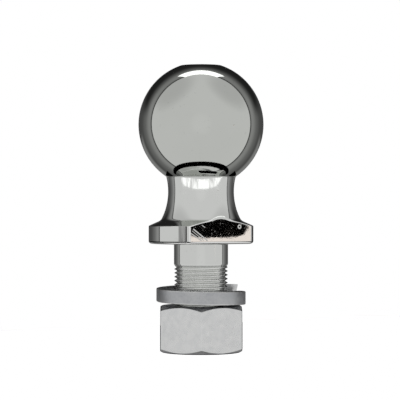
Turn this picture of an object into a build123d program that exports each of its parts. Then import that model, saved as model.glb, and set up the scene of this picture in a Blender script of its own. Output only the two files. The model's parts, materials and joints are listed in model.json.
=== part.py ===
"""Threaded tow ball with its split lock washer and hex nut.

The ball, its waisted neck, the round flange with two wrench flats and the shank are one
forging, chromed all over. The washer and the nut wait at the lower end of the shank, so
that the plate of a ball mount fits between the flange and the washer.

Millimetres. The origin is the middle of the flange's underside, which is the face that
sits on the ball mount. +Z runs up through the ball, and the wrench flats face -Y and +Y.
The fine thread is drawn as a plain stretch of shank at its crest diameter.
"""
import os
from math import cos, hypot, pi, radians, sqrt, tan

from build123d import *

# The ball, a 2 5/16 inch size, and the small flat on its top
BALL_DIAMETER = 58.74
BALL_BASE_HEIGHT = 26.53
TOP_FLAT_DIAMETER = 19.0

# The neck, a concave waist under the ball
WAIST_DIAMETER = 30.9
WAIST_HEIGHT = 24.5
NECK_FLARE = 3.45
BALL_CREASE = 0.8
NECK_FOOT_FILLET = 3.0

# The flange, whose top slopes up to the neck, and its two wrench flats
FLANGE_DIAMETER = 49.2
FLANGE_RIM_HEIGHT = 8.4
FLANGE_TOP_SLOPE = 24.0
FLANGE_TOP_ROUND = 0.6
FLANGE_BASE_ROUND = 1.4
FLAT_OUTSIDE_WAIST = 2.65
WRENCH_CUT_HEIGHT = 20.0
WRENCH_EDGE_ROUND = 0.4

# The shank, 1 inch by 2 inches, with a 1 inch thread of 14 turns to the inch
SHANK_DIAMETER = 25.4
SHANK_LENGTH = 50.8
SHANK_ROOT_FILLET = 0.5
PLAIN_LENGTH = 9.5
RUN_OUT_LENGTH = 0.6
THREAD_DIAMETER = 25.0
THREAD_END_CHAMFER = 1.5

# The hex nut
NUT_ACROSS_FLATS = 38.1
NUT_THICKNESS = 21.8
NUT_FACE_DIAMETER = 36.6
NUT_CHAMFER_ANGLE = 30.0
NUT_THREAD_CLEARANCE = 0.08
NUT_COUNTERSINK = 0.8

# The helical spring lock washer, as it stands before it is clamped
WASHER_BORE_CLEARANCE = 0.3
WASHER_WIDTH = 7.95
WASHER_THICKNESS = 6.35
WASHER_CORNER_ROUND = 0.6
WASHER_RISE = 3.0
WASHER_SPLIT = 1.6
WASHER_SPLIT_SLANT = 20.0
WASHER_TO_NUT = 0.15

# Values that follow from the sizes above
ball_radius = BALL_DIAMETER / 2
ball_centre = BALL_BASE_HEIGHT + ball_radius
waist_radius = WAIST_DIAMETER / 2
flange_radius = FLANGE_DIAMETER / 2
neck_foot_radius = waist_radius + NECK_FLARE
flange_top_width = flange_radius - neck_foot_radius
neck_foot_height = FLANGE_RIM_HEIGHT + flange_top_width * tan(radians(FLANGE_TOP_SLOPE))
wrench_size = WAIST_DIAMETER + 2 * FLAT_OUTSIDE_WAIST
shank_radius = SHANK_DIAMETER / 2
thread_radius = THREAD_DIAMETER / 2
nut_bore_radius = thread_radius + NUT_THREAD_CLEARANCE
nut_bottom = -SHANK_LENGTH
nut_top = nut_bottom + NUT_THICKNESS
washer_bore_radius = shank_radius + WASHER_BORE_CLEARANCE
washer_outer_radius = washer_bore_radius + WASHER_WIDTH
washer_bottom = nut_top + WASHER_TO_NUT

# The neck is an arc that is upright at the waist and ends at the neck's foot
waist_to_foot = WAIST_HEIGHT - neck_foot_height
neck_curve = (waist_to_foot**2 + NECK_FLARE**2) / (2 * NECK_FLARE)


def circles_meet(centre_a, radius_a, centre_b, radius_b):
    """The lower of the two points where circles a and b cross, as (x, z)."""
    run, rise = centre_b[0] - centre_a[0], centre_b[1] - centre_a[1]
    apart = hypot(run, rise)
    along = (radius_a**2 - radius_b**2 + apart**2) / (2 * apart)
    aside = sqrt(radius_a**2 - along**2)
    return (
        centre_a[0] + (along * run + aside * rise) / apart,
        centre_a[1] + (along * rise - aside * run) / apart,
    )


# The corners of the turned outline, as (radius, height)
top_flat_radius = TOP_FLAT_DIAMETER / 2
top_edge = (top_flat_radius, ball_centre + sqrt(ball_radius**2 - top_flat_radius**2))
equator = (ball_radius, ball_centre)
crease = circles_meet(
    (0, ball_centre), ball_radius, (waist_radius + neck_curve, WAIST_HEIGHT), neck_curve
)
waist = (waist_radius, WAIST_HEIGHT)
neck_foot = (neck_foot_radius, neck_foot_height)
flange_top_edge = (flange_radius, FLANGE_RIM_HEIGHT)
flange_base_edge = (flange_radius, 0)
shank_root = (shank_radius, 0)
plain_end = (shank_radius, -PLAIN_LENGTH)
thread_start = (thread_radius, -PLAIN_LENGTH - RUN_OUT_LENGTH)
thread_end = (thread_radius, -SHANK_LENGTH)

# The forging: one turned outline, then the two wrench flats, which run up into the neck
with BuildPart() as tow_ball:
    with BuildSketch(Plane.XZ) as outline:
        with BuildLine():
            Line((0, top_edge[1]), top_edge)
            ThreePointArc(top_edge, equator, crease)
            ThreePointArc(crease, waist, neck_foot)
            Polyline(
                neck_foot,
                flange_top_edge,
                flange_base_edge,
                shank_root,
                plain_end,
                thread_start,
                thread_end,
                (0, -SHANK_LENGTH),
                (0, top_edge[1]),
            )
        make_face()
        for corner, size in (
            (crease, BALL_CREASE),
            (neck_foot, NECK_FOOT_FILLET),
            (flange_top_edge, FLANGE_TOP_ROUND),
            (shank_root, SHANK_ROOT_FILLET),
        ):
            fillet(outline.vertices().sort_by_distance(corner)[0], radius=size)
        chamfer(outline.vertices().sort_by_distance(thread_end)[0], length=THREAD_END_CHAMFER)
    revolve(axis=Axis.Z)
    with BuildSketch(Plane.XY) as beside_the_flats:
        with GridLocations(0, wrench_size + FLANGE_DIAMETER, 1, 2):
            Rectangle(2 * FLANGE_DIAMETER, FLANGE_DIAMETER)
    extrude(amount=WRENCH_CUT_HEIGHT, mode=Mode.SUBTRACT)
    flats = tow_ball.faces().filter_by(Axis.Y)
    flats_above_seat = flats.edges().filter_by_position(Axis.Z, FLANGE_BASE_ROUND, WRENCH_CUT_HEIGHT)
    fillet(flats_above_seat, radius=WRENCH_EDGE_ROUND)
    seat = tow_ball.faces().filter_by(Plane.XY).sort_by(Axis.Z)[1]
    fillet(seat.outer_wire().edges(), radius=FLANGE_BASE_ROUND)
tow_ball.part.label = "tow_ball"

# The nut: a hexagon inside a barrel that chamfers its corners at both faces
hexagon_radius = NUT_ACROSS_FLATS / 2 / cos(pi / 6)
face_radius = NUT_FACE_DIAMETER / 2
chamfer_rise = (hexagon_radius - face_radius) * tan(radians(NUT_CHAMFER_ANGLE))

with BuildPart() as hex_nut:
    with BuildSketch(Plane.XY.offset(nut_bottom)):
        RegularPolygon(hexagon_radius, side_count=6)
    extrude(amount=NUT_THICKNESS)
    with BuildSketch(Plane.XZ):
        with BuildLine():
            Polyline(
                (0, nut_bottom),
                (face_radius, nut_bottom),
                (hexagon_radius, nut_bottom + chamfer_rise),
                (hexagon_radius, nut_top - chamfer_rise),
                (face_radius, nut_top),
                (0, nut_top),
                close=True,
            )
        make_face()
    revolve(axis=Axis.Z, mode=Mode.INTERSECT)
    with Locations((0, 0, nut_top)):
        Hole(nut_bore_radius)
    bore_mouths = hex_nut.edges().filter_by(GeomType.CIRCLE).group_by(SortBy.RADIUS)[0]
    chamfer(bore_mouths, length=NUT_COUNTERSINK)
hex_nut.part.label = "hex_nut"

# The washer: a rounded bar wound for just under one turn, with its ends on a slant. It is
# wound left-handed, so that its lower end bites only when a right-hand nut turns loose
middle_radius = (washer_bore_radius + washer_outer_radius) / 2
wound_turns = 1 - WASHER_SPLIT / (2 * pi * middle_radius)
bar_height = WASHER_THICKNESS / cos(radians(WASHER_SPLIT_SLANT))

with BuildPart() as lock_washer:
    with BuildLine() as winding:
        Helix(
            pitch=WASHER_RISE / wound_turns,
            height=WASHER_RISE,
            radius=middle_radius,
            center=(0, 0, washer_bottom + WASHER_THICKNESS / 2),
            lefthand=True,
        )
    along_bar = winding.line % 0
    end_plane = Plane(
        origin=winding.line @ 0,
        x_dir=(1, 0, 0),
        z_dir=along_bar.rotate(Axis.X, WASHER_SPLIT_SLANT),
    )
    with BuildSketch(end_plane):
        RectangleRounded(WASHER_WIDTH, bar_height, WASHER_CORNER_ROUND)
    sweep(is_frenet=True)
lock_washer.part.label = "lock_washer"

os.makedirs("parts", exist_ok=True)
export_step(tow_ball.part, "parts/tow_ball.step")
export_step(hex_nut.part, "parts/hex_nut.step")
export_step(lock_washer.part, "parts/lock_washer.step")
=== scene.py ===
# %% [markdown]
# # A threaded tow ball, chromed and ready to bolt on
#
# The real part is one steel forging. It is turned in a lathe, two flats are milled on its flange
# for a wrench, a thread is rolled on its shank, and the whole of it is polished and chromed. A
# split lock washer and a hex nut, both zinc plated, come with it.
#
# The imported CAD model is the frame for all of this. It gives every size, and the pieces below
# are finer versions of its three nodes, with their real thread and with edges that catch light.

import json
from math import atan2, ceil, copysign, cos, hypot, pi, radians, sin, sqrt, tan

import bmesh
import bpy
from mathutils import Matrix, Vector


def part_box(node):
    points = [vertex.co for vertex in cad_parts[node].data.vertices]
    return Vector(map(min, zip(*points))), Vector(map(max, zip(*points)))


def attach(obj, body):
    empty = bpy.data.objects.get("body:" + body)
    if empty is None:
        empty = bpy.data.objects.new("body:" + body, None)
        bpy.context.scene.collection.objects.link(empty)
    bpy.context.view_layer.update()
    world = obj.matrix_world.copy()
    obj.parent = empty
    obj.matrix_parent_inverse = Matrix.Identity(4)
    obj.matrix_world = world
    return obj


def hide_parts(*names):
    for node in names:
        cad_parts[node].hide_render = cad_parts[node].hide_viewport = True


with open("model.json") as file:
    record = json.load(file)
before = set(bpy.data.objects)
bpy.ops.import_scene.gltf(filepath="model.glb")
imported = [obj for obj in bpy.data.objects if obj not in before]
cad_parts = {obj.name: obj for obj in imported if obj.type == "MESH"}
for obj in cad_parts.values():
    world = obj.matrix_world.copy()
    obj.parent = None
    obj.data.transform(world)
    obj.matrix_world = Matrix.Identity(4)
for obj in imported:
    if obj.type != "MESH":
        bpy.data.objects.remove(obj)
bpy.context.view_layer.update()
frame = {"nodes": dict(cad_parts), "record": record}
MM = 0.001
mounts = {mount["name"]: mount for mount in frame["record"]["mounts"]}
print("nodes:", sorted(frame["nodes"]))

# %% [markdown]
# ## The sizes
#
# The ball, the shank and the heights of the nut and the washer are read from the frame. What the
# frame has no number for, such as the radius of a small edge round, is written here, in metres.

# %% Sizes that the frame gives
ball_radius = mounts["ball"]["dims"]["r_mm"] * MM
ball_centre = mounts["ball"]["pos_m"][2]
shank_radius = mounts["shank"]["dims"]["r_mm"] * MM
flat_distance = abs(mounts["wrench_flat_front"]["pos_m"][1])
shank_end = mounts["foot"]["pos_m"][2]
ball_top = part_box("tow_ball")[1].z
nut_low, nut_high = (corner.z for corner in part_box("hex_nut"))
nut_across_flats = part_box("hex_nut")[1].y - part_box("hex_nut")[0].y
washer_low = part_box("lock_washer")[0].z
print(f"ball radius {ball_radius / MM:.2f} mm, centre {ball_centre / MM:.2f} mm above the seat")

# %% Sizes of the forging's smaller forms
waist_radius = 15.45 * MM
waist_height = 24.5 * MM
neck_flare = 3.45 * MM
flange_radius = 24.6 * MM
flange_rim_height = 8.4 * MM
flange_top_slope = radians(24)
top_edge_round = 0.5 * MM
crease_round = 0.8 * MM
neck_foot_round = 3.0 * MM
flange_top_round = 0.6 * MM
flange_base_round = 1.4 * MM
mill_blend = 0.3 * MM
base_bevel = 0.85 * MM
base_blend = 0.3 * MM
shank_root_round = 0.5 * MM
plain_length = 9.5 * MM
run_out_length = 0.6 * MM

# %% Sizes of the thread, which has 14 turns to the inch
thread_pitch = 25.4 * MM / 14
thread_crest = 12.5 * MM
thread_depth = 0.613 * thread_pitch
thread_end_chamfer = 1.5 * MM

# %% [markdown]
# ## Drawing an outline with spun points
#
# A lathe part is an outline turned round an axis, so the outline comes first. It can be drawn as
# a chain of points that are extruded one after another. A straight run is one extruded point. A
# round run is a point that `spin` carries round the centre of its arc, which keeps it truly round.

# %% Helpers that draw an outline in the XZ plane
outline_step = 0.55 * MM
hold_distance = 0.05 * MM
merge_distance = 0.001 * MM


def line_to(bm, start, end):
    """Draws a straight run, with a point close to each end to hold its shading straight."""
    length = hypot(end[0] - start.co.x, end[1] - start.co.z)
    target = Vector((end[0], 0, end[1]))
    begin = start.co.copy()
    stops = [1.0]
    if length > 4 * hold_distance:
        stops = [hold_distance / length, 1 - hold_distance / length, 1.0]
    for stop in stops:
        made = bmesh.ops.extrude_vert_indiv(bm, verts=[start])
        start = made["verts"][0]
        start.co = begin.lerp(target, stop)
    return start


def lines_to(bm, start, *corners):
    """Draws straight runs from corner to corner."""
    for corner in corners:
        start = line_to(bm, start, corner)
    return start


def arc_to(bm, start, centre, end, steps=None):
    """Draws a round run about a centre, the short way round, to the direction of end."""
    before = atan2(start.co.z - centre[1], start.co.x - centre[0])
    after = atan2(end[1] - centre[1], end[0] - centre[0])
    turn = (after - before + pi) % (2 * pi) - pi
    radius = hypot(start.co.x - centre[0], start.co.z - centre[1])
    if steps is None:
        steps = max(6, ceil(abs(turn) * radius / outline_step))
    made = bmesh.ops.spin(
        bm, geom=[start], cent=(centre[0], 0, centre[1]), axis=(0, 1, 0), angle=-turn, steps=steps
    )
    return next(item for item in made["geom_last"] if isinstance(item, bmesh.types.BMVert))


def circles_meet(centre_a, radius_a, centre_b, radius_b):
    """The lower of the two points where circles a and b cross, as (x, z)."""
    run, rise = centre_b[0] - centre_a[0], centre_b[1] - centre_a[1]
    apart = hypot(run, rise)
    along = (radius_a**2 - radius_b**2 + apart**2) / (2 * apart)
    aside = sqrt(radius_a**2 - along**2)
    return (
        centre_a[0] + (along * run + aside * rise) / apart,
        centre_a[1] + (along * rise - aside * run) / apart,
    )


def line_meets_circle(start, direction, centre, radius):
    """Where a line that starts inside a circle leaves it, as (x, z)."""
    inward = Vector(start) - Vector(centre)
    along = inward.dot(direction)
    reach = sqrt(along**2 - inward.length_squared + radius**2) - along
    return tuple(Vector(start) + direction * reach)


def point_beyond(centre, through, distance):
    """The point at a distance from a centre, in the direction of another point."""
    away = (Vector(through) - Vector(centre)).normalized() * distance
    return (centre[0] + away.x, centre[1] + away.y)


# %% Helpers that turn an outline and make a piece of it
turned_segments = 192
tool_segments = 96


def sweep(bm, angle, steps, **more):
    """Spins all of a bmesh round the Z axis."""
    drawn = bm.verts[:] + bm.edges[:] + bm.faces[:]
    axis = {"cent": (0, 0, 0), "axis": (0, 0, 1)}
    bmesh.ops.spin(bm, geom=drawn, angle=angle, steps=steps, **axis, **more)


def turn(bm, segments=turned_segments):
    """Turns the whole outline once round the Z axis and closes its seam and poles."""
    sweep(bm, 2 * pi, segments, use_merge=True)
    bmesh.ops.remove_doubles(bm, verts=bm.verts, dist=merge_distance)
    bmesh.ops.recalc_face_normals(bm, faces=bm.faces)


def piece_from(bm, name, sharp_angle=40):
    """Makes a smooth-shaded object of a bmesh, with edges over an angle left sharp."""
    mesh = bpy.data.meshes.new(name)
    bm.to_mesh(mesh)
    bm.free()
    mesh.shade_smooth()
    mesh.set_sharp_from_angle(angle=radians(sharp_angle))
    piece = bpy.data.objects.new(name, mesh)
    bpy.context.scene.collection.objects.link(piece)
    return piece


def open_edges(bm):
    """The edges that only one face uses."""
    return [edge for edge in bm.edges if edge.is_boundary]


def combine(piece, tool, operation):
    """Adds, cuts or intersects a piece with a tool solid, and takes the tool away."""
    step = piece.modifiers.new(operation.lower(), "BOOLEAN")
    step.object = tool
    step.operation = operation
    step.solver = "EXACT"
    depsgraph = bpy.context.evaluated_depsgraph_get()
    made = bpy.data.meshes.new_from_object(piece.evaluated_get(depsgraph))
    bm = bmesh.new()
    bm.from_mesh(made)
    bmesh.ops.remove_doubles(bm, verts=bm.verts, dist=2 * merge_distance)
    open_count = len(open_edges(bm))
    bm.to_mesh(made)
    bm.free()
    piece.modifiers.clear()
    old = piece.data
    piece.data = made
    made.name = old.name
    bpy.data.meshes.remove(old)
    bpy.data.objects.remove(tool)
    print(operation, piece.name, len(made.polygons), "faces", open_count, "open edges")


# %% [markdown]
# ## The thread
#
# A thread is a comb whose teeth climb by one pitch in each turn. `spin` takes a step along the
# axis with its `dvec`, so one turn of a comb with a tooth for each turn of thread makes the whole
# of it, and each tooth ends where the next one starts. Cutting both ends square and closing them
# gives a threaded rod. The shank takes the rod as it is, and the nut has a wider one cut out of
# it, and because both start at the same angle the nut really runs on the shank.

# %% A threaded rod
thread_segments = 96


def threaded_rod(name, crest, low, high):
    """A closed right-hand threaded rod between two heights, in phase with every other one."""
    root = crest - thread_depth
    crest_half = thread_pitch / 16
    root_half = thread_pitch / 2 - crest_half - thread_depth * tan(radians(30))
    first = int(low // thread_pitch) - 2
    last = int(high // thread_pitch) + 2
    bm = bmesh.new()
    point = bm.verts.new((root, 0, (first - 0.5) * thread_pitch + root_half))
    for tooth in range(first, last):
        middle = tooth * thread_pitch
        for radius, height in (
            (crest, middle - crest_half),
            (crest, middle + crest_half),
            (root, middle + thread_pitch / 2 - root_half),
            (root, middle + thread_pitch / 2 + root_half),
        ):
            point = bmesh.ops.extrude_vert_indiv(bm, verts=[point])["verts"][0]
            point.co = (radius, 0, height)
    sweep(bm, 2 * pi, thread_segments, dvec=(0, 0, thread_pitch / thread_segments))
    bmesh.ops.remove_doubles(bm, verts=bm.verts, dist=merge_distance)
    for height, outside in ((low, -1), (high, 1)):
        bmesh.ops.bisect_plane(
            bm,
            geom=bm.verts[:] + bm.edges[:] + bm.faces[:],
            plane_co=(0, 0, height),
            plane_no=(0, 0, outside),
            clear_outer=True,
        )
    bmesh.ops.holes_fill(bm, edges=open_edges(bm))
    bmesh.ops.recalc_face_normals(bm, faces=bm.faces)
    return piece_from(bm, name)


# %% [markdown]
# ## The forging
#
# The outline starts on the axis at the ball's top flat and runs down to the shank. Every corner
# is rounded, because no forging has a sharp one and because a round edge is what draws the thin
# bright lines on chrome. Two arcs touch a third where the distances between their centres are the
# sums or differences of their radii, so each small round's centre is where two circles cross.

# %% The corners of the forging's outline
flange_top_width = flange_radius - waist_radius - neck_flare
waist_to_foot = waist_height - flange_rim_height - flange_top_width * tan(flange_top_slope)
neck_curve = (waist_to_foot**2 + neck_flare**2) / (2 * neck_flare)
ball_middle = (0, ball_centre)
neck_middle = (waist_radius + neck_curve, waist_height)
thread_root = thread_crest - thread_depth
thread_top = -plain_length - run_out_length
core_radius = thread_root - 0.5 * MM
core_end = shank_end + 2 * thread_end_chamfer

top_round_height = ball_top - top_edge_round
top_round_middle = (
    sqrt((ball_radius - top_edge_round) ** 2 - (top_round_height - ball_centre) ** 2),
    top_round_height,
)
crease_middle = circles_meet(
    ball_middle, ball_radius + crease_round, neck_middle, neck_curve - crease_round
)

up_the_slope = Vector((-cos(flange_top_slope), sin(flange_top_slope)))
off_the_slope = Vector((sin(flange_top_slope), cos(flange_top_slope)))
rim = Vector((flange_radius, flange_rim_height))
foot_middle = line_meets_circle(
    rim + off_the_slope * neck_foot_round, up_the_slope, neck_middle, neck_curve - neck_foot_round
)
foot_end = Vector(foot_middle) - off_the_slope * neck_foot_round
rim_middle = Vector((flange_radius - flange_top_round, 0))
rim_middle.y = rim.y + flange_top_round * (tan(flange_top_slope) - 1 / cos(flange_top_slope))
rim_start = rim_middle + off_the_slope * flange_top_round
print(f"neck curve {neck_curve / MM:.2f} mm")


# %% Draw the outline and turn it
def turned_forging():
    """The forging before its flats are milled, with a plain core where the thread goes."""
    bm = bmesh.new()
    point = bm.verts.new((0, 0, ball_top))
    point = line_to(bm, point, (top_round_middle[0], ball_top))
    ball_start = point_beyond(ball_middle, top_round_middle, ball_radius)
    point = arc_to(bm, point, top_round_middle, ball_start)
    point = arc_to(bm, point, ball_middle, (ball_radius, ball_centre))
    point = arc_to(bm, point, ball_middle, crease_middle)
    point = arc_to(bm, point, crease_middle, point_beyond(neck_middle, crease_middle, neck_curve))
    point = arc_to(bm, point, neck_middle, foot_middle)
    point = arc_to(bm, point, foot_middle, foot_end)
    point = line_to(bm, point, rim_start)
    point = arc_to(bm, point, rim_middle, (flange_radius, rim_middle.y), steps=9)
    point = line_to(bm, point, (flange_radius, flange_base_round))
    base_middle = (flange_radius - flange_base_round, flange_base_round)
    point = arc_to(bm, point, base_middle, (base_middle[0], 0), steps=9)
    point = line_to(bm, point, (shank_radius + shank_root_round, 0))
    corner = (shank_radius + shank_root_round, -shank_root_round)
    point = arc_to(bm, point, corner, (shank_radius, corner[1]), steps=5)
    lines_to(
        bm,
        point,
        (shank_radius, -plain_length),
        (thread_crest, thread_top),
        (thread_root, thread_top - 0.75 * thread_pitch),
        (core_radius, thread_top - 1.25 * thread_pitch),
        (core_radius, core_end),
        (0, core_end),
    )
    turn(bm)
    return bm


# %% [markdown]
# The flats are milled: a plane cuts the flange and runs up into the foot of the neck, where it
# leaves an arch. A `bevel` can't round the line that such a cut leaves, because the rings of the
# turned surface meet it at all angles. So the cut is made a little too deep with `bisect_plane`,
# and its open rim is extruded back out to the flat in small steps. Each point of the rim follows
# an arc that touches the turned surface where it starts and the flat where it ends.

# %% A cut with a blended edge
flats_top = 20 * MM
flats_bottom = -0.2 * MM
blend_steps = 4
weld_distance = 0.12 * MM
widest_blend = cos(radians(18))


def mill(bm, through, facing, blend):
    """Cuts the flange along a plane, and blends the cut into the surface round it."""
    facing = Vector(facing).normalized()
    zone = [face for face in bm.faces if flats_bottom < face.calc_center_median().z < flats_top]
    zone_edges = dict.fromkeys(edge for face in zone for edge in face.edges)
    zone_verts = dict.fromkeys(vert for face in zone for vert in face.verts)
    bmesh.ops.bisect_plane(
        bm,
        geom=[*zone_verts, *zone_edges, *zone],
        plane_co=Vector(through) - facing * blend,
        plane_no=facing,
        clear_outer=True,
    )
    rim_verts = dict.fromkeys(vert for edge in open_edges(bm) for vert in edge.verts)
    in_order = sorted(rim_verts, key=lambda vert: vert.co[:])
    bmesh.ops.remove_doubles(bm, verts=in_order, dist=weld_distance)
    bm.normal_update()
    rim = open_edges(bm)
    arcs = {vert: arc_at(vert, facing, blend) for edge in rim for vert in edge.verts}
    for step in range(1, blend_steps + 1):
        made = bmesh.ops.extrude_edge_only(bm, edges=rim)["geom"]
        fresh = [item for item in made if isinstance(item, bmesh.types.BMVert)]
        arcs = {vert: arcs[rim_neighbour(vert, arcs)] for vert in fresh}
        for vert, (centre, normal, radius) in arcs.items():
            vert.co = centre + radius * normal.slerp(facing, step / blend_steps)
        rim = open_edges(bm)
    for vert in arcs:
        vert.co -= facing * facing.dot(vert.co - Vector(through))
    bmesh.ops.edgeloop_fill(bm, edges=rim)
    return len(rim)


def arc_at(vert, facing, blend):
    """The centre, start direction and radius of the arc from a point of the rim to the plane."""
    radius = blend / (1 - min(vert.normal.dot(facing), widest_blend))
    return (vert.co - vert.normal * radius, vert.normal.copy(), radius)


def rim_neighbour(vert, arcs):
    """The point of the rim before that a new point was extruded from."""
    return next(edge.other_vert(vert) for edge in vert.link_edges if edge.other_vert(vert) in arcs)


# %% [markdown]
# The edge between each flat and the flange's underside gets a second, slanting cut, which carries
# the round of the flange's base on under the flat. Welding its rim can pull a corner of the flat
# off its plane, and a mirror shows that at once, so the flats' corners are set back. The flats are
# also inset by a hair, so that smooth shading bends only that hair's breadth.

# %% Mill the two flats
flat_least_corners = 9
flat_least_facing = 0.99


def mill_flats(bm):
    """Mills both wrench flats and bevels their lower edges."""
    for side in (-1, 1):
        flat = mill(bm, (0, side * flat_distance, 0), (0, side, 0), mill_blend)
        bevel = mill(bm, (0, side * flat_distance, base_bevel), (0, side, -1), base_blend)
        print(f"flat with {flat} points round it, bevel with {bevel}")
    sideways = [face for face in bm.faces if abs(face.normal.y) > flat_least_facing]
    flats = [face for face in sideways if len(face.verts) >= flat_least_corners]
    for vert in [vert for face in flats for vert in face.verts]:
        vert.co.y = copysign(flat_distance, vert.co.y)
    print("flats:", [round(face.calc_area() / MM**2, 1) for face in flats], "square mm")
    bmesh.ops.inset_individual(bm, faces=flats, thickness=hold_distance, use_even_offset=True)
    bmesh.ops.recalc_face_normals(bm, faces=bm.faces)


# %% Put the forging together
body = turned_forging()
mill_flats(body)
forging = piece_from(body, "forged_ball")
rod = threaded_rod("shank_thread", thread_crest, shank_end, thread_top - 0.2 * MM)


def shank_blank():
    """The outline that the lathe leaves for the thread: a cylinder with a chamfered end."""
    bm = bmesh.new()
    wide = thread_crest + MM
    end_radius = thread_crest - thread_end_chamfer
    point = bm.verts.new((0, 0, shank_end))
    slope_top = shank_end + wide - end_radius
    lines_to(bm, point, (end_radius, shank_end), (wide, slope_top), (wide, 0), (0, 0))
    turn(bm, segments=tool_segments)
    return piece_from(bm, "shank_blank")


combine(rod, shank_blank(), "INTERSECT")
combine(forging, rod, "UNION")
forging.data.set_sharp_from_angle(angle=radians(40))

# %% [markdown]
# ## The nut
#
# A hex nut starts as a six-sided bar. A barrel with sloping ends trims its corners, which gives
# the curved lines where the slopes meet the flats. The threaded rod is then cut out of it.

# %% Make the nut
nut_corner_radius = nut_across_flats / 2 / cos(pi / 6)
nut_corner_round = 0.5 * MM
nut_face_radius = 18.3 * MM
nut_chamfer_angle = radians(30)
nut_countersink = 1.4 * MM
thread_clearance = 0.1 * MM


def hex_bar():
    """A six-sided bar with slightly rounded corners, flats facing -Y and +Y."""
    middle = Matrix.Translation((0, 0, (nut_high + nut_low) / 2))
    bm = bmesh.new()
    bmesh.ops.create_cone(
        bm,
        cap_ends=True,
        segments=6,
        radius1=nut_corner_radius,
        radius2=nut_corner_radius,
        depth=nut_high - nut_low,
        matrix=middle @ Matrix.Rotation(pi / 6, 4, "Z"),
    )
    upright = [edge for edge in bm.edges if abs(edge.verts[0].co.z - edge.verts[1].co.z) > MM]
    bmesh.ops.bevel(
        bm,
        geom=upright,
        offset=nut_corner_round,
        segments=4,
        profile=0.5,
        affect="EDGES",
        material=-1,
    )
    return piece_from(bm, "zinc_nut", sharp_angle=20)


def nut_barrel():
    """The solid that trims the bar's corners at both faces."""
    corner = nut_corner_radius + nut_corner_round
    rise = (corner - nut_face_radius) * tan(nut_chamfer_angle)
    bm = bmesh.new()
    lines_to(
        bm,
        bm.verts.new((0, 0, nut_low)),
        (nut_face_radius, nut_low),
        (corner, nut_low + rise),
        (corner, nut_high - rise),
        (nut_face_radius, nut_high),
        (0, nut_high),
    )
    turn(bm, segments=tool_segments)
    return piece_from(bm, "nut_barrel", sharp_angle=20)


def countersink(height, out):
    """A cone that opens the mouth of the nut's thread, its wide end out of the nut."""
    bm = bmesh.new()
    wide = thread_crest + nut_countersink / 2
    mouth = height + out * MM
    lines_to(bm, bm.verts.new((0, 0, mouth)), (wide + MM, mouth), (0, height - out * wide))
    turn(bm, segments=tool_segments)
    return piece_from(bm, "countersink")


nut = hex_bar()
combine(nut, nut_barrel(), "INTERSECT")
for height, out in ((nut_low, -1), (nut_high, 1)):
    combine(nut, countersink(height, out), "DIFFERENCE")
tap = threaded_rod("nut_tap", thread_crest + thread_clearance, nut_low - MM, nut_high + MM)
combine(nut, tap, "DIFFERENCE")
nut.data.set_sharp_from_angle(angle=radians(20))

# %% [markdown]
# ## The lock washer
#
# It is a bar with rounded corners, wound for just under one turn. It is wound the other way from
# the thread, so that its ends dig in only when the nut turns loose. The bar's end is drawn once,
# leaning by the slant of the split, and one `spin` that also climbs winds it up.

# %% Wind the washer
washer_inner = 13.0 * MM
washer_width = 7.95 * MM
washer_bar = 6.35 * MM
washer_corner = 0.6 * MM
washer_split = 1.6 * MM
washer_slant = radians(20)
washer_rise = 3.0 * MM
washer_steps = 120


def rounded_section(bm, width, height, corner):
    """A rectangle with round corners about the origin of the XZ plane, as one face."""
    first = point = bm.verts.new((width / 2, 0, corner - height / 2))
    for right, up in ((1, 1), (-1, 1), (-1, -1), (1, -1)):
        middle = (right * (width / 2 - corner), up * (height / 2 - corner))
        beside = (right * width / 2, middle[1])
        above = (middle[0], up * height / 2)
        start, end = (beside, above) if right == up else (above, beside)
        point = line_to(bm, point, start)
        point = arc_to(bm, point, middle, end)
    bmesh.ops.weld_verts(bm, targetmap={point: first})
    bmesh.ops.contextual_create(bm, geom=bm.edges[:])


def wound_washer():
    """The helical spring washer, from a slanted end section wound left-handed."""
    middle = washer_inner + washer_width / 2
    bm = bmesh.new()
    rounded_section(bm, washer_width, washer_bar / cos(washer_slant), washer_corner)
    start = Matrix.Translation((middle, 0, washer_low + washer_bar / 2))
    bmesh.ops.transform(bm, matrix=start @ Matrix.Rotation(washer_slant, 4, "X"), verts=bm.verts)
    winding = washer_split / middle - 2 * pi
    sweep(bm, winding, washer_steps, dvec=(0, 0, washer_rise / washer_steps))
    bmesh.ops.recalc_face_normals(bm, faces=bm.faces)
    return piece_from(bm, "spring_washer", sharp_angle=30)


washer = wound_washer()


# %% [markdown]
# ## Noting the edges
#
# Handling and polishing wear metal most where it stands out. Each point gets a number: 1 on an
# edge where the surface bends outwards by more than 9 degrees, 0 elsewhere. The number travels
# with the mesh as an attribute, so a material can read it on every face.

# %% Mark the edges that stand out
edge_angle = radians(9)


def mark_edges(piece):
    """Notes in the attribute named edge which points of a piece lie on an outward edge."""
    bm = bmesh.new()
    bm.from_mesh(piece.data)
    edge_mark = bm.verts.layers.float.new("edge")
    for vert in bm.verts:
        sharpest = max((edge.calc_face_angle_signed(0) for edge in vert.link_edges), default=0)
        vert[edge_mark] = 1.0 if sharpest > edge_angle else 0.0
    marked = sum(vert[edge_mark] for vert in bm.verts)
    bm.to_mesh(piece.data)
    bm.free()
    print(f"{piece.name}: {marked:.0f} points on edges")


for piece in (forging, nut, washer):
    mark_edges(piece)

# %% [markdown]
# ## Finishes
#
# Chrome, milled chrome and zinc share a few effects: a faint ripple left by polishing, fine lines
# that the lathe leaves round the axis, cloudy handling marks and edges that shine. Each effect is
# a node group, built once, and each material places it with values of its own. Short helpers
# keep the node code readable: `add_node` adds a node and fills or links its sockets, and
# `node_group`, written over a function, makes a group of the nodes that the function adds.

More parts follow.
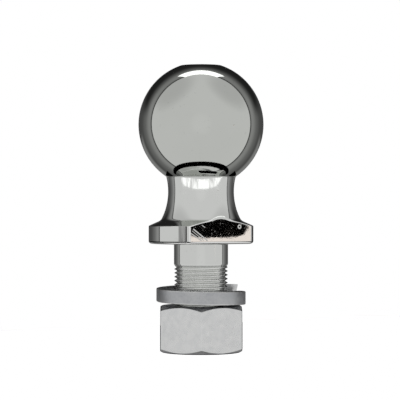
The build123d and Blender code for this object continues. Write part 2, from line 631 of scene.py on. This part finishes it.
# %% Helpers for shader nodes
def add_node(tree, kind, values=None, **settings):
    """Adds a node, with its settings, and gives its sockets a value or a link."""
    node = tree.nodes.new("ShaderNode" + kind)
    for name, setting in settings.items():
        setattr(node, name, setting)
    for socket, value in (values or {}).items():
        if isinstance(value, bpy.types.NodeSocket):
            tree.links.new(value, node.inputs[socket])
        else:
            node.inputs[socket].default_value = value
    return node


def calculate(tree, operation, *values, clamp=False):
    """A Math node's result, from numbers or sockets."""
    node = add_node(tree, "Math", dict(enumerate(values)), operation=operation, use_clamp=clamp)
    return node.outputs[0]


def vector_math(tree, operation, *values, result="Vector"):
    """A Vector Math node's result, which is its Value where that is a number."""
    node = add_node(tree, "VectorMath", dict(enumerate(values)), operation=operation)
    return node.outputs[result]


def scaled(tree, vector, scale):
    """A vector times a number."""
    return add_node(tree, "VectorMath", {0: vector, "Scale": scale}, operation="SCALE").outputs[0]


def axes_of(tree, place):
    """The x, y and z of a vector."""
    return add_node(tree, "SeparateXYZ", {0: place}).outputs


def join_axes(tree, *values):
    """A vector of up to three numbers."""
    return add_node(tree, "CombineXYZ", dict(enumerate(values))).outputs[0]


def times(tree, first, second):
    """Two numbers multiplied."""
    return calculate(tree, "MULTIPLY", first, second)


def node_group(name, output, **inputs):
    """Makes a group of the function below it, which gives back what the group puts out."""
    tree = bpy.data.node_groups.new(name, "ShaderNodeTree")
    for title, value in inputs.items():
        socket = tree.interface.new_socket(title, in_out="INPUT", socket_type="NodeSocketFloat")
        socket.default_value = value
    tree.interface.new_socket(output, in_out="OUTPUT", socket_type="NodeSocketFloat")
    given = tree.nodes.new("NodeGroupInput").outputs
    out = tree.nodes.new("NodeGroupOutput").inputs[0]

    def fill(work_out):
        tree.links.new(work_out(tree, given), out)
        return tree

    return fill


def place_group(tree, group, values):
    """Places a group in a material and gives back what it puts out."""
    node = tree.nodes.new("ShaderNodeGroup")
    node.node_tree = group
    for title, value in values.items():
        node.inputs[title].default_value = value
    return node.outputs[0]


def object_place(tree):
    """Where a point lies on its piece, in metres."""
    return add_node(tree, "TexCoord").outputs["Object"]


def noise_at(tree, place, scale, detail=2, roughness=0.5):
    """Soft noise at a place."""
    values = {"Vector": place, "Scale": scale, "Detail": detail, "Roughness": roughness}
    return add_node(tree, "TexNoise", values).outputs[0]


# %% The ripple of a polished surface
@node_group("polish_ripple", "Height", Scale=250)
def ripple(tree, given):
    return noise_at(tree, object_place(tree), given["Scale"], 1.5)


# %% The fine lines that turning leaves round the axis
@node_group("lathe_lines", "Height", Scale=3000, Breaks=90)
def lathe_lines(tree, given):
    place = object_place(tree)
    axes = axes_of(tree, place)
    radius = vector_math(tree, "LENGTH", join_axes(tree, axes[0], axes[1]), result="Value")
    lines = noise_at(tree, join_axes(tree, radius, axes[2]), given["Scale"], 1)
    return times(tree, lines, noise_at(tree, place, given["Breaks"]))


# %% Cloudy handling marks
@node_group("handling_clouds", "Mask", Scale=60, Low=0.4, High=0.7)
def clouds(tree, given):
    noise = noise_at(tree, object_place(tree), given["Scale"], 5, 0.6)
    limits = {"Value": noise, "From Min": given["Low"], "From Max": given["High"]}
    return add_node(tree, "MapRange", limits).outputs[0]


# %% Edges that shine
@node_group("shining_edges", "Mask", Breaks=400, Gaps=0.5)
def shining_edges(tree, given):
    edge = add_node(tree, "Attribute", attribute_name="edge").outputs["Fac"]
    lost = times(tree, noise_at(tree, object_place(tree), given["Breaks"]), given["Gaps"])
    return times(tree, edge, calculate(tree, "SUBTRACT", 1.0, lost))


# %% [markdown]
# A material mixes these masks into the Principled shader. Chrome has a touch of green and zinc a
# touch of blue, but what tells them apart most is roughness: chrome is close to a mirror, while
# zinc spreads the light. A bump distance of a few thousandths of a millimetre is enough on a
# mirror, because it doubles every tilt of the surface in what it reflects.

# %% Helpers that put a metal together
def mix_colour(tree, mask, under, over):
    """Two colours mixed by a mask."""
    node = add_node(tree, "Mix", {"Factor": mask}, data_type="RGBA")
    for socket, colour in ((node.inputs[6], under), (node.inputs[7], over)):
        if isinstance(colour, bpy.types.NodeSocket):
            tree.links.new(colour, socket)
        else:
            socket.default_value = (*colour, 1)
    return node.outputs[2]


def start_metal(name):
    """A metal with its node tree and its Principled shader."""
    material = bpy.data.materials.new(name)
    material.use_nodes = True
    shader = material.node_tree.nodes["Principled BSDF"]
    shader.inputs["Metallic"].default_value = 1
    return material, material.node_tree, shader.inputs


def set_look(tree, shader, colour, rough):
    """Gives a shader its colour and its roughness."""
    tree.links.new(colour, shader["Base Color"])
    tree.links.new(rough, shader["Roughness"])


def roughen(tree, least, *amounts):
    """A roughness: a least value, and for each mask what it adds."""
    total = least
    for mask, amount in amounts:
        total = calculate(tree, "MULTIPLY_ADD", mask, amount, total)
    return total


def raise_surface(tree, socket, distance, *heights):
    """Bumps a surface by the sum of weighted heights."""
    total = 0.0
    for height, weight in heights:
        total = calculate(tree, "MULTIPLY_ADD", height, weight, total)
    bump = add_node(tree, "Bump", {"Height": total, "Strength": 1.0, "Distance": distance})
    tree.links.new(bump.outputs[0], socket)


# %% A painted dark reflection on the flange's rim, on either side of each flat
# where the streaked band and the dark line beside it lie along x, and half their widths
painted_dark_band = (19.2 * MM, 1.1 * MM)
painted_dark_line = (17.9 * MM, 0.22 * MM)
painted_streak_stretch = 0.04


def close_to(tree, value, place, reach):
    """A mask of where a value lies within reach of a place."""
    gap = calculate(tree, "ABSOLUTE", calculate(tree, "SUBTRACT", value, place))
    return calculate(tree, "LESS_THAN", gap, reach)


def painted_dark_streaks(tree):
    """A mask of the rim on either side of each flat, streaked from top to bottom, where a dark
    reflection is painted.
    """
    axes = axes_of(tree, object_place(tree))
    aside = calculate(tree, "ABSOLUTE", axes[0])
    on_flange = calculate(tree, "GREATER_THAN", axes[2], 0.0)
    below_top = calculate(tree, "LESS_THAN", axes[2], flange_rim_height)
    streaks = join_axes(tree, axes[0], axes[1], times(tree, axes[2], painted_streak_stretch))
    level = calculate(tree, "MULTIPLY_ADD", noise_at(tree, streaks, 1300), 0.9, 0.05)
    level = times(tree, level, close_to(tree, aside, *painted_dark_band))
    level = calculate(tree, "MAXIMUM", level, close_to(tree, aside, *painted_dark_line))
    return times(tree, times(tree, level, on_flange), below_top)


# %% Polished chrome
bright_chrome = (0.95, 0.95, 0.94)


def polished_chrome():
    material, tree, shader = start_metal("polished_chrome")
    haze = place_group(tree, clouds, {"Scale": 45, "Low": 0.42, "High": 0.75})
    grime = place_group(tree, clouds, {"Scale": 420, "Low": 0.62, "High": 0.72})
    bright = place_group(tree, shining_edges, {"Breaks": 500, "Gaps": 0.3})
    height = axes_of(tree, object_place(tree))[2]
    thread = calculate(tree, "LESS_THAN", height, thread_top)
    ball = calculate(tree, "GREATER_THAN", height, crease_middle[1])
    # painted shade: the ball is painted darker than the neck and flange of the same chrome, and
    # handling haze darkens it a little more
    ball_shade_and_haze = calculate(tree, "MULTIPLY_ADD", ball, 0.85, times(tree, haze, 0.12))
    colour = mix_colour(tree, ball_shade_and_haze, (0.72, 0.73, 0.712), (0.60, 0.614, 0.585))
    # fine grime specks are real dirt, while the streaks beside the flats are a painted dark
    # reflection; both darken the colour and roughen it
    dirt_and_painted_dark = calculate(tree, "MAXIMUM", times(tree, grime, 0.1), painted_dark_streaks(tree))
    colour = mix_colour(tree, dirt_and_painted_dark, colour, (0.05, 0.045, 0.045))
    colour = mix_colour(tree, bright, colour, bright_chrome)
    rough = roughen(tree, 0.035, (haze, 0.03), (dirt_and_painted_dark, 0.5), (thread, 0.12))
    set_look(tree, shader, colour, rough)
    peel = place_group(tree, ripple, {"Scale": 250})
    lines = place_group(tree, lathe_lines, {"Scale": 2600, "Breaks": 120})
    raise_surface(tree, shader["Normal"], 0.006 * MM, (peel, 1.0), (lines, 0.03))
    return material


# %% [markdown]
# The flats are mirrors with fine specks in them. The front one also has a few drag marks from a
# wrench and the round dent of a hardness test. A drag mark is a line between two points of the
# flat, and how far a point lies from that line tells whether it belongs to the mark. The dent is
# the ring at a set distance from a single point.

# %% A drag mark on a flat
@node_group("drag_mark", "Mask", X1=0.0, Z1=0.0, X2=0.01, Z2=0.0, Width=0.1 * MM, Ring=0.0)
def drag_mark(tree, given):
    axes = axes_of(tree, object_place(tree))
    here = join_axes(tree, axes[0], axes[2])
    start = join_axes(tree, given["X1"], given["Z1"])
    end = join_axes(tree, given["X2"], given["Z2"])
    run = vector_math(tree, "SUBTRACT", end, start)
    away = vector_math(tree, "SUBTRACT", here, start)
    along = vector_math(tree, "DOT_PRODUCT", away, run, result="Value")
    square = vector_math(tree, "DOT_PRODUCT", run, run, result="Value")
    share = calculate(tree, "DIVIDE", along, square, clamp=True)
    foot = scaled(tree, run, share)
    gap = vector_math(tree, "DISTANCE", away, foot, result="Value")
    gap = calculate(tree, "ABSOLUTE", calculate(tree, "SUBTRACT", gap, given["Ring"]))
    limits = {"Value": gap, "From Max": given["Width"], "To Min": 1, "To Max": 0}
    return add_node(tree, "MapRange", limits).outputs[0]


drag_mark_titles = ("X1", "Z1", "X2", "Z2", "Width", "Ring")
# the ends of each mark, its width and the radius of a ring in mm, and how strong it is
drag_marks = (
    (-14.7, 7.1, -7.4, 1.9, 0.3, 0, 1.0),
    (-16.4, 5.4, -10.6, 1.9, 0.25, 0, 0.9),
    (-15.4, 6.3, -9.2, 1.9, 0.15, 0, 0.5),
    (-10.2, 8.9, -8.6, 7.9, 0.16, 0, 0.5),
    (10.1, 8.1, 10.1, 8.1, 0.3, 0.75, 0.7),
)


# %% Milled chrome
def milled_chrome():
    material, tree, shader = start_metal("milled_chrome")
    specks = place_group(tree, clouds, {"Scale": 1700, "Low": 0.66, "High": 0.76})
    dull = place_group(tree, clouds, {"Scale": 300, "Low": 0.5, "High": 0.8})
    bright = place_group(tree, shining_edges, {"Breaks": 500, "Gaps": 0.3})
    marks = 0.0
    for *shape, depth in drag_marks:
        sizes = {title: size * MM for title, size in zip(drag_mark_titles, shape)}
        mark = times(tree, place_group(tree, drag_mark, sizes), depth)
        marks = calculate(tree, "MAXIMUM", marks, mark)
    front = calculate(tree, "LESS_THAN", axes_of(tree, object_place(tree))[1], 0)
    marks = times(tree, marks, front)
    light = calculate(tree, "MAXIMUM", bright, times(tree, marks, 0.5))
    colour = mix_colour(tree, light, (0.55, 0.56, 0.55), bright_chrome)
    rough = roughen(tree, 0.01, (specks, 0.25), (dull, 0.015), (marks, 0.4))
    set_look(tree, shader, colour, rough)
    peel = place_group(tree, ripple, {"Scale": 1400})
    raise_surface(tree, shader["Normal"], 0.0003 * MM, (peel, 1.6), (specks, -4.0), (marks, -20.0))
    return material


# %% [markdown]
# Zinc plating is softer and bluer. Its fine crystals and the tumbling in the plating drum leave a
# cloudy sheen and small dents, and only the edges rub bright.

# %% The grain of zinc
@node_group("zinc_grain", "Height", Scale=900)
def zinc_grain(tree, given):
    place = object_place(tree)
    bend = add_node(tree, "TexNoise", {"Vector": place, "Scale": 300, "Detail": 3})
    moved = vector_math(tree, "ADD", place, scaled(tree, bend.outputs["Color"], 0.001))
    cells = add_node(tree, "TexVoronoi", {"Vector": moved, "Scale": given["Scale"]})
    return axes_of(tree, cells.outputs["Color"])[0]


# %% Zinc-plated steel
def zinc_plate(name, dark, light, least_roughness, dent_scale, dent_depth, line_depth):
    material, tree, shader = start_metal(name)
    grain = place_group(tree, zinc_grain, {"Scale": 1100})
    haze = place_group(tree, clouds, {"Scale": 110, "Low": 0.35, "High": 0.7})
    bright = place_group(tree, shining_edges, {"Breaks": 350, "Gaps": 0.8})
    tone = calculate(tree, "MULTIPLY_ADD", grain, 0.35, times(tree, haze, 0.65))
    colour = mix_colour(tree, bright, mix_colour(tree, tone, dark, light), (0.82, 0.82, 0.81))
    rough = roughen(tree, least_roughness, (grain, 0.06), (haze, 0.12), (bright, -0.1))
    set_look(tree, shader, colour, rough)
    dents = place_group(tree, ripple, {"Scale": dent_scale})
    lines = place_group(tree, lathe_lines, {"Scale": 1500, "Breaks": 60})
    heights = ((dents, dent_depth), (grain, 0.03), (lines, line_depth))
    raise_surface(tree, shader["Normal"], 0.05 * MM, *heights)
    return material


# %% Give the pieces their finishes
chrome = polished_chrome()
milled = milled_chrome()
nut_look = {"least_roughness": 0.26, "dent_scale": 300, "dent_depth": 0.4, "line_depth": 0.5}
nut_zinc = zinc_plate("nut_zinc", (0.53, 0.545, 0.56), (0.66, 0.67, 0.68), **nut_look)
washer_look = {"least_roughness": 0.34, "dent_scale": 480, "dent_depth": 1.0, "line_depth": 0.0}
washer_zinc = zinc_plate("washer_zinc", (0.42, 0.43, 0.445), (0.56, 0.565, 0.57), **washer_look)
for piece, materials, body_name, node, slot in (
    (forging, (chrome, milled), "ball", "tow_ball", "chrome"),
    (washer, (washer_zinc,), "washer", "lock_washer", "zinc_washer"),
    (nut, (nut_zinc,), "nut", "hex_nut", "zinc_nut"),
):
    piece.data.materials.clear()
    for material in materials:
        piece.data.materials.append(material)
    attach(piece, body_name)
    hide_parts(node)

# %% The flats take the milled finish
for face in forging.data.polygons:
    on_flat = abs(face.normal.y) > 0.9999 and abs(abs(face.center.y) - flat_distance) < 0.01 * MM
    face.material_index = 1 if on_flat and 0 < face.center.z < flats_top else 0
print("milled faces:", sum(face.material_index for face in forging.data.polygons))

# %% [markdown]
# ## The camera
#
# It stands level with the lower neck and about 30 degrees round from the front flat, far enough
# away that the ball's outline stays round.

# %% Place the camera
camera_azimuth = radians(-30.7)
camera_distance = 0.9
aim_height = 20.5 * MM
aim_left = 0.47 * MM
view_width = 0.188
sensor_width = 36

toward_camera = Vector((sin(camera_azimuth), -cos(camera_azimuth), 0))
camera_right = Vector((cos(camera_azimuth), sin(camera_azimuth), 0))
aim = Vector((0, 0, aim_height)) - camera_right * aim_left
camera_data = bpy.data.cameras.new("camera")
camera_data.sensor_width = sensor_width
camera_data.lens = sensor_width * camera_distance / view_width
camera = bpy.data.objects.new("camera", camera_data)
camera.location = aim + toward_camera * camera_distance
camera.rotation_euler = (-toward_camera).to_track_quat("-Z", "Y").to_euler()
bpy.context.scene.collection.objects.link(camera)
bpy.context.scene.camera = camera

# %% [markdown]
# ## The light tent
#
# Chrome has next to no look of its own: it shows the studio. Such parts are photographed in a tent
# of white cloth, open at the back. In the ball, the front of the tent is the pale disc, the tent's
# hem is the thin dark line round it, and the dim room behind is the dark ring outside. The tent is
# a large sphere that glows by its direction from the object. The camera doesn't see it, and no ray
# has to look for it as a lamp, because every reflection meets it anyway. The cloth is a little
# dimmer at its two side folds. The room is dimmer towards its ceiling and paler at its far end,
# near the ground.

# %% A helper for things that glow
def glowing(name, level, colour=(1, 1, 1)):
    """A plain glowing material, black at a level of 0."""
    material = bpy.data.materials.new(name)
    material.use_nodes = True
    tree = material.node_tree
    tree.nodes.clear()
    shine = add_node(tree, "Emission", {"Color": (*colour, 1), "Strength": level})
    add_node(tree, "OutputMaterial", {"Surface": shine.outputs[0]})
    return material


# %% How bright the tent and the room are, by the angle from the camera in degrees
tent_levels = (
    (0, 0.74),
    (101.8, 0.74),
    (102.4, 0.02),
    (103.9, 0.02),
    (104.9, 0.25),
    (108, 0.336),
    (112, 0.31),
    (116, 0.26),
    (121, 0.19),
    (128, 0.15),
    (136, 0.10),
    (147, 0.08),
    (180, 0.07),
)
side_folds = [side * 0.62 * camera_right + Vector((0, 0, 0.78)) for side in (-1, 1)]


def tent_ramp(tree, angle):
    """The grey of the tent at an angle, from the table."""
    ramp = add_node(tree, "ValToRGB", {"Fac": calculate(tree, "DIVIDE", angle, 180)})
    elements = ramp.color_ramp.elements
    while len(elements) < len(tent_levels):
        elements.new(0.5)
    for element, (degrees_round, level) in zip(elements, tent_levels):
        element.position = degrees_round / 180
        element.color = (level, level, level, 1)
    return ramp.outputs[0]


def slope(tree, value, start, end):
    """Goes smoothly from 0 to 1 while a value goes from start to end."""
    limits = {"Value": value, "From Min": start, "From Max": end}
    return add_node(tree, "MapRange", limits, interpolation_type="SMOOTHSTEP").outputs[0]


def patch(tree, away, middle, rim, core, level):
    """A factor that goes from 1 to a level inside a round patch of sky, its sizes in degrees."""
    near = vector_math(tree, "DOT_PRODUCT", away, middle, result="Value")
    inside = slope(tree, near, cos(radians(rim)), cos(radians(core)))
    return calculate(tree, "MULTIPLY_ADD", inside, level - 1.0, 1.0)


# %% Material of the tent
tent_radius = 3.0


def tent_glow():
    material = glowing("tent_glow", 1)
    material.cycles.emission_sampling = "NONE"
    tree = material.node_tree
    away = vector_math(tree, "NORMALIZE", object_place(tree))
    aside = vector_math(tree, "DOT_PRODUCT", away, toward_camera, result="Value")
    angle = calculate(tree, "DEGREES", calculate(tree, "ARCCOSINE", aside))
    height = axes_of(tree, away)[2]
    room = slope(tree, angle, 112, 134)
    ceiling = times(tree, room, slope(tree, height, 0.12, 0.34))
    far_back = slope(tree, angle, 138, 150)
    ground = times(tree, far_back, slope(tree, height, -0.01, -0.12))
    strength = calculate(tree, "MULTIPLY_ADD", ceiling, -0.8, 1.0)
    strength = calculate(tree, "MULTIPLY_ADD", ground, 2.2, strength)
    for middle, rim, core, level in (
        (toward_camera, 24, 0, 1.05),
        (side_folds[0], 38, 10, 0.8),
        (side_folds[1], 38, 10, 0.8),
    ):
        factor = patch(tree, away, middle, rim, core, level)
        strength = times(tree, strength, factor)
    shine = tree.nodes["Emission"].inputs
    tree.links.new(tent_ramp(tree, angle), shine["Color"])
    tree.links.new(strength, shine["Strength"])
    return material


# %% Put the tent up
bm = bmesh.new()
bmesh.ops.create_icosphere(bm, subdivisions=4, radius=tent_radius)
bmesh.ops.reverse_faces(bm, faces=bm.faces)
tent = piece_from(bm, "light_tent")
tent.data.materials.append(tent_glow())
tent.visible_camera = False
tent.visible_shadow = False

# %% [markdown]
# ## The softbox and the cards
#
# A softbox over the back of the ball draws the white crescent on top of it. Cards do the rest, and
# only reflections see them. To black out the flat from end to end, a card has to stand where the
# flat looks. That place is found with the camera's mirror image: a straight line from it through
# a corner of the flat runs on to the card's corner.

# %% Helpers for lamps and cards
def square_sheet(half_size):
    """A flat square, as a bmesh."""
    bm = bmesh.new()
    bmesh.ops.create_grid(bm, x_segments=1, y_segments=1, size=half_size)
    return bm


def behind(distance, height):
    """The place at a distance behind the object, turned as the camera is."""
    place = Vector((0, 0, height)) - toward_camera * distance
    return Matrix.Translation(place) @ Matrix.Rotation(camera_azimuth, 4, "Z")


def one_sided(tree, shader):
    """Leaves a surface clear where it is seen from behind."""
    behind = add_node(tree, "NewGeometry").outputs["Backfacing"]
    clear = add_node(tree, "BsdfTransparent").outputs[0]
    both = add_node(tree, "MixShader", {0: behind, 1: shader.outputs[0], 2: clear})
    tree.links.new(both.outputs[0], tree.nodes["Material Output"].inputs["Surface"])


def card(bm, name, material):
    """Makes a card of a bmesh, which only reflections see."""
    piece = piece_from(bm, name)
    piece.data.materials.append(material)
    for kind in ("camera", "diffuse", "transmission", "shadow"):
        setattr(piece, "visible_" + kind, False)


black = glowing("black_card", 0)
black.cycles.emission_sampling = "NONE"

# %% The softbox
softbox_reach = 0.34
softbox_rise = 1.0
softbox_depth = 0.26
softbox_back_width = 0.96
softbox_front_width = 0.66
bm = square_sheet(0.5)
for vert in bm.verts:
    vert.co.x *= softbox_back_width if vert.co.y > 0 else softbox_front_width
    vert.co.y *= softbox_depth
place = behind(softbox_reach, ball_centre + softbox_rise)
bmesh.ops.transform(bm, matrix=place, verts=bm.verts)
softbox = piece_from(bm, "top_softbox")
softbox.data.materials.append(glowing("softbox_light", 2.0))
softbox.visible_camera = False

# %% An overhead lamp for the shadow on the floor, which metal doesn't mirror
lamp_data = bpy.data.lights.new("overhead_lamp", "AREA")
lamp_data.shape = "DISK"
lamp_data.size = 0.9
lamp_data.energy = 5
lamp = bpy.data.objects.new("overhead_lamp", lamp_data)
lamp.location = (0, 0, ball_centre + 0.9)
lamp.visible_camera = False
lamp.visible_glossy = False
bpy.context.scene.collection.objects.link(lamp)

# %% The cards that the front flat mirrors
mirrored_camera = camera.location.copy()
mirrored_camera.y = -2 * flat_distance - camera.location.y
card_distance = 2.6


def flat_card(name, outline, distance, material):
    """A card that fills an outline on the front flat, whose corners are x and z in mm."""
    bm = bmesh.new()
    for x, z in outline:
        on_flat = Vector((x * MM, -flat_distance, z * MM))
        bm.verts.new(on_flat + (on_flat - mirrored_camera).normalized() * distance)
    bmesh.ops.contextual_create(bm, geom=bm.verts[:])
    card(bm, name, material)


whole_flat = ((-17.4, -1.0), (18.0, -1.0), (18.0, 13.4), (-17.4, 13.4))
dark_part = (
    (-17.4, 4.6),
    (-14.0, 3.4),
    (-9.0, 3.0),
    (7.5, 3.2),
    (12.6, 4.4),
    (14.8, 7.2),
    (15.6, 13.4),
    (-17.4, 13.4),
)
warm_white = glowing("warm_white_card", 1.4, (1.0, 0.9, 0.84))
flat_card("flat_white_card", whole_flat, card_distance + 0.05, warm_white)
flat_card("flat_black_card", dark_part, card_distance, black)

# %% A ring, or a part of one, round the object's axis
ring_steps = 40


def ring_part(start, stop, inner, outer):
    """A strip from an inner to an outer (radius, height) in mm, between two azimuths from the
    camera in degrees. It faces down where the second azimuth is the smaller one."""
    bm = bmesh.new()
    first = bm.verts.new((0, -inner[0] * MM, inner[1] * MM))
    last = bmesh.ops.extrude_vert_indiv(bm, verts=[first])["verts"][0]
    last.co = (0, -outer[0] * MM, outer[1] * MM)
    turned = Matrix.Rotation(camera_azimuth + radians(start), 3, "Z")
    bmesh.ops.rotate(bm, matrix=turned, verts=bm.verts)
    sweep(bm, radians(stop - start), ring_steps)
    return bm


# %% The dark collar that the bottom of the ball mirrors, and the dark card behind it
collar_height = -0.3
card(ring_part(-118, 118, (25.5, collar_height), (35, collar_height)), "collar_card", black)

back_half_width = 42 * MM
back_distance = 70 * MM
bm = square_sheet(back_half_width)
bmesh.ops.transform(bm, matrix=behind(back_distance, collar_height * MM), verts=bm.verts)
card(bm, "back_card", black)


# %% The paper that the top of the neck mirrors, patchy and bright on its underside only
def paper_glow():
    material = glowing("reflector_paper", 0)
    tree = material.node_tree
    shine = tree.nodes["Emission"]
    patches = place_group(tree, clouds, {"Scale": 130, "Low": 0.4, "High": 0.55})
    tree.links.new(calculate(tree, "MULTIPLY_ADD", patches, 0.65, 0.85), shine.inputs["Strength"])
    one_sided(tree, shine)
    return material


card(ring_part(60, -55, (32, 24.4), (34.9, 22.4)), "reflector_paper", paper_glow())

# %% [markdown]
# ## The floor and the white background
#
# The floor is white paper that only catches the soft shadow. It lies low enough for the nut to
# come all the way off the shank above it, and it is clear from below, so that the nut can be
# seen from there. The world behind is white for the camera, and for reflections and clear things
# as well, and gives no light of its own.

# %% The floor
floor_size = 1.2
nut_drop = 32 * MM
bm = square_sheet(floor_size / 2)
bmesh.ops.translate(bm, vec=(0, 0, shank_end - nut_drop), verts=bm.verts)
floor = piece_from(bm, "floor")
paper = bpy.data.materials.new("white_paper")
paper.use_nodes = True
paper_shader = paper.node_tree.nodes["Principled BSDF"]
paper_shader.inputs["Base Color"].default_value = (0.85, 0.85, 0.85, 1)
one_sided(paper.node_tree, paper_shader)
floor.data.materials.append(paper)
floor.is_shadow_catcher = True
floor.visible_glossy = False

# %% The world
world = bpy.data.worlds.new("white_world")
bpy.context.scene.world = world
world.use_nodes = True
tree = world.node_tree
tree.nodes.clear()
seen = add_node(tree, "LightPath").outputs
white = calculate(tree, "ADD", seen["Is Camera Ray"], seen["Is Glossy Ray"])
white = calculate(tree, "ADD", white, seen["Is Transmission Ray"], clamp=True)
backdrop = add_node(tree, "Background", {"Color": (1, 1, 1, 1), "Strength": white})
add_node(tree, "OutputWorld", {"Surface": backdrop.outputs[0]})
bpy.context.scene.view_settings.view_transform = "Standard"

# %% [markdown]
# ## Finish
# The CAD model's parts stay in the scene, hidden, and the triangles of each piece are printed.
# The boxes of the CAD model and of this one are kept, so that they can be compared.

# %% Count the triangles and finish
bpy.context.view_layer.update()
for piece in (forging, washer, nut):
    print(piece.name, sum(len(face.vertices) - 2 for face in piece.data.polygons), "triangles")
